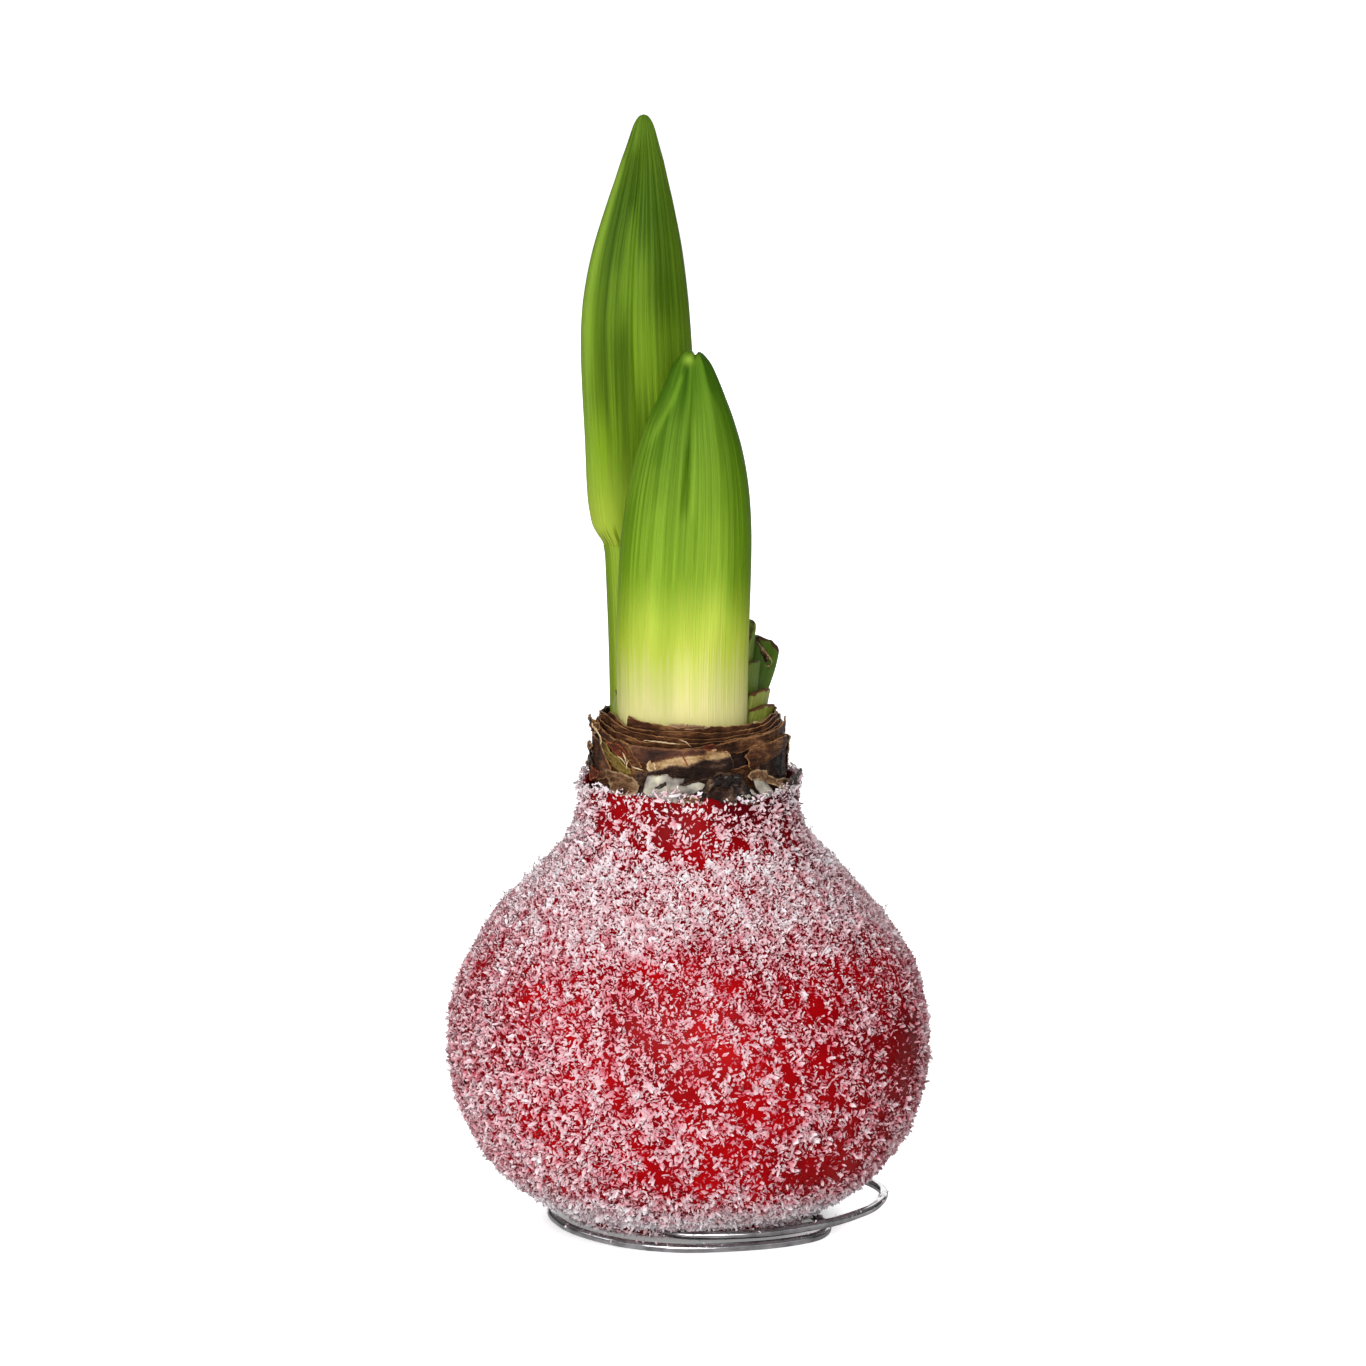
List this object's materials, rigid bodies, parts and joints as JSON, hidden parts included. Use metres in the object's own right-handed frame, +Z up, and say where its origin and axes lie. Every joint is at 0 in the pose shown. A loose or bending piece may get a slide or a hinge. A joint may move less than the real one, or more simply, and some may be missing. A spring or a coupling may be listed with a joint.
{
  "type": "waxed amaryllis bulb",
  "caption": "Amaryllis bulb dipped in red wax and snowy flakes, resting on a coiled wire, with green flower buds and cut leaf stubs rising from its papery brown neck.",
  "frame": {"origin": "on the surface that the wire stand rests on, at the middle of the bounding box's base, which is the bulb's own axis to within a quarter of a millimetre", "axes": "+Z up, from the stand to the tip of the taller bud; -Y is the front, on the side of the shorter bud; +X is to the right of the front"},
  "size_m": [0.0943, 0.093, 0.2195],
  "materials": {
    "steel_wire": "polished",
    "red_wax": "satin",
    "bulb_flesh": "matte",
    "papery_tunic": "matte",
    "green_bud": "satin",
    "green_stem": "satin",
    "green_leaf": "satin",
    "pale_scale": "satin"
  },
  "bodies": {
    "root": {"wire_stand": "steel_wire", "wax_coat": "red_wax", "bulb": "bulb_flesh", "tunic_1": "papery_tunic", "tunic_2": "papery_tunic", "tunic_3": "papery_tunic", "tunic_4": "papery_tunic", "torn_tunic_left": "papery_tunic", "torn_tunic_front": "papery_tunic", "torn_tunic_right": "papery_tunic", "front_bud": "green_bud", "rear_stem": "green_stem", "rear_bud": "green_bud", "scale_stub_low": "pale_scale", "scale_stub_mid": "pale_scale", "scale_stub_left": "pale_scale", "leaf_stub_short": "green_leaf", "leaf_stub_folded": "green_leaf", "leaf_stub_tall": "green_leaf"}
  },
  "joints": []
}
